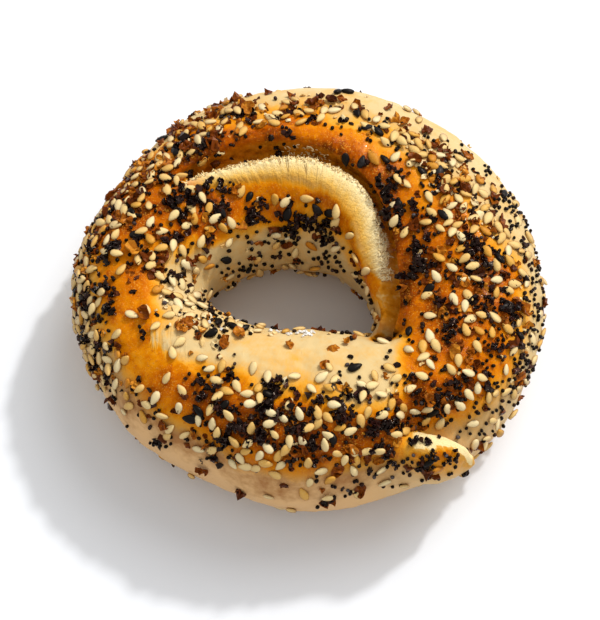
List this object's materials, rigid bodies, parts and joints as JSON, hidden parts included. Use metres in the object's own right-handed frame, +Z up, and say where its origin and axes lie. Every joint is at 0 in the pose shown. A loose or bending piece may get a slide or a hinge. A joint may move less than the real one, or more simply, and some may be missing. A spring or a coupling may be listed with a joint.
{
  "type": "everything bagel",
  "caption": "Hand rolled ring of baked dough with a spiral split over its top, a tucked rope end and a coat of seeds and onion flakes.",
  "frame": {"origin": "centre of the box round the bagel, on the plane it rests on", "axes": "+Z up through the hole, +Y towards the side where the crust split open, -Y towards the tucked rope end's side"},
  "size_m": [0.1122, 0.1052, 0.0397],
  "materials": {
    "crust": "satin baked crust, golden to pale cream",
    "sesame": "matte cream to toasted seed",
    "black_sesame": "matte black seed",
    "poppy": "matte blue black seed",
    "onion": "toasted translucent flake",
    "burnt_onion": "dark crumpled flake",
    "garlic": "pale granule",
    "salt": "white crystal"
  },
  "bodies": {
    "root": {"bagel": "crust"}
  },
  "joints": []
}
